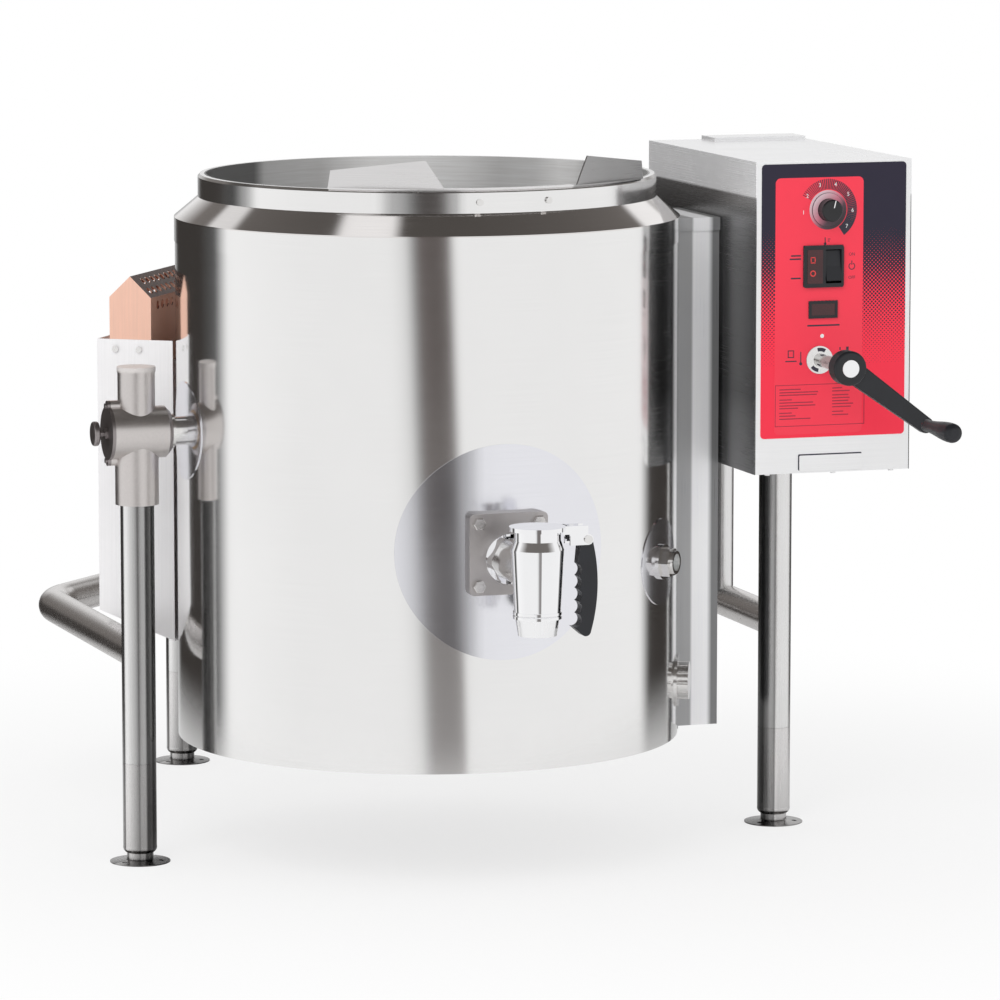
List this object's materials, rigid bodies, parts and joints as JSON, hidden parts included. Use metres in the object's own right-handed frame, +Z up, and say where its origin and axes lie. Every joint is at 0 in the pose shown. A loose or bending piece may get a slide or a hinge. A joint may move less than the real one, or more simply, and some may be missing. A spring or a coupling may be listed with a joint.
{
  "type": "steam jacketed kettle",
  "caption": "Gas-fired tilting steam jacketed kettle: stainless drum with front draw-off valve, flue and pouring lip, hung between a tube stand and a console with a crank.",
  "frame": {"origin": "on the floor under the middle of the part's box", "axes": "+Z up, -Y towards the operator and the draw-off valve, +X from the left trunnion towards the console"},
  "size_m": [1.213, 1.4154, 1.073],
  "materials": {
    "stainless": "brushed stainless sheet and tube",
    "bright_steel": "machined bright",
    "chrome": "polished plating",
    "drawoff_pipe": "satin",
    "plug_brass": "machined",
    "bronze": "sintered bronze",
    "gear_iron": "machined cast iron",
    "frame_steel": "welded mild steel, painted",
    "insulation": "glass fibre blanket",
    "flue_copper": "heat-tinted copper colour",
    "black_plastic": "moulded",
    "red_lens": "clear red moulding",
    "clear_glass": "gauge glass",
    "panel_film": "printed polyester film, red and dark blue"
  },
  "bodies": {
    "stand": {"left_leg": "stainless", "right_leg": "stainless", "rear_leg": "stainless", "left_rail": "stainless", "right_rail": "stainless", "console_post": "stainless", "tee_housing": "stainless", "housing_cap": "stainless", "bushes": "bronze", "drive_frame": "frame_steel", "console_shell": "stainless", "console_front": "stainless", "console_back": "stainless", "control_overlay": "panel_film", "crank_ring": "bright_steel", "switch_block": "black_plastic", "signal_lamp": "black_plastic", "lens_inserts": "red_lens"},
    "crank": {"worm_shaft": "bright_steel", "crank_arm": "black_plastic", "crank_cap": "chrome", "crank_pin": "bright_steel"},
    "crank_handle": {"crank_grip": "black_plastic"},
    "valve_lever": {"valve_handle": "black_plastic"},
    "plug": {"valve_plug": "plug_brass"},
    "dial": {"temp_knob": "black_plastic"},
    "rocker": {"power_rocker": "black_plastic"},
    "left_foot": {"foot_left": "stainless"},
    "right_foot": {"foot_right": "stainless"},
    "rear_foot": {"foot_rear": "stainless"},
    "kettle": {"outer_shroud": "stainless", "shroud_band": "stainless", "shoulder_ring": "stainless", "rim_band": "stainless", "inner_bowl": "stainless", "pour_lip": "stainless", "drawoff_patch": "stainless", "drawoff_plate": "stainless", "side_patches": "stainless", "channel_cover": "stainless", "channel_cap": "stainless", "flue_box": "stainless", "jacket_shell": "stainless", "base_pan": "stainless", "sheet_screws": "bright_steel", "drawoff_bolts": "bright_steel", "trunnion_left": "bright_steel", "trunnion_right": "bright_steel", "valve_pin": "bright_steel", "drain_fitting": "bright_steel", "sight_fitting": "bright_steel", "drawoff_nut": "chrome", "valve_body": "chrome", "valve_cap": "chrome", "drawoff_tube": "drawoff_pipe", "sector_gear": "gear_iron", "burner_ring": "gear_iron", "insulation_liner": "insulation", "flue_hood": "flue_copper", "sight_lens": "clear_glass"}
  },
  "joints": [
    {"name": "kettle_tilt", "type": "hinge", "parent": "stand", "child": "kettle", "pos_m": [-0.0835, -0.13675, 0.652], "axis": [1, 0, 0], "range_deg": [0, 90]},
    {"name": "crank_turn", "type": "hinge", "parent": "stand", "child": "crank", "pos_m": [0.4595, -0.13675, 0.752], "axis": [0, 1, 0], "range_deg": [0, 3600]},
    {"name": "grip_spin", "type": "hinge", "parent": "crank", "child": "crank_handle", "pos_m": [0.5844, -0.53675, 0.66192], "axis": [0, 1, 0], "continuous": true},
    {"name": "lever_lift", "type": "hinge", "parent": "kettle", "child": "valve_lever", "pos_m": [-0.0115, -0.66675, 0.541], "axis": [0, -1, 0], "range_deg": [0, 70]},
    {"name": "plug_rise", "type": "slide", "parent": "kettle", "child": "plug", "axis": [0, 0, 1], "range_m": [0, 0.012]},
    {"name": "dial_turn", "type": "hinge", "parent": "stand", "child": "dial", "pos_m": [0.4715, -0.37675, 0.978], "axis": [0, 1, 0], "range_deg": [-135, 105]},
    {"name": "rocker_press", "type": "hinge", "parent": "stand", "child": "rocker", "pos_m": [0.4805, -0.36875, 0.893], "axis": [-1, 0, 0], "range_deg": [0, 16]},
    {"name": "left_foot_screw", "type": "slide", "parent": "stand", "child": "left_foot", "axis": [0, 0, -1], "range_m": [0, 0.03]},
    {"name": "right_foot_screw", "type": "slide", "parent": "stand", "child": "right_foot", "axis": [0, 0, -1], "range_m": [0, 0.03]},
    {"name": "rear_foot_screw", "type": "slide", "parent": "stand", "child": "rear_foot", "axis": [0, 0, -1], "range_m": [0, 0.03]}
  ],
  "couplings": [
    {"joint": "crank_turn", "follows": "kettle_tilt", "ratio": 40},
    {"joint": "plug_rise", "follows": "lever_lift", "m_per_rad": 0.009814}
  ]
}
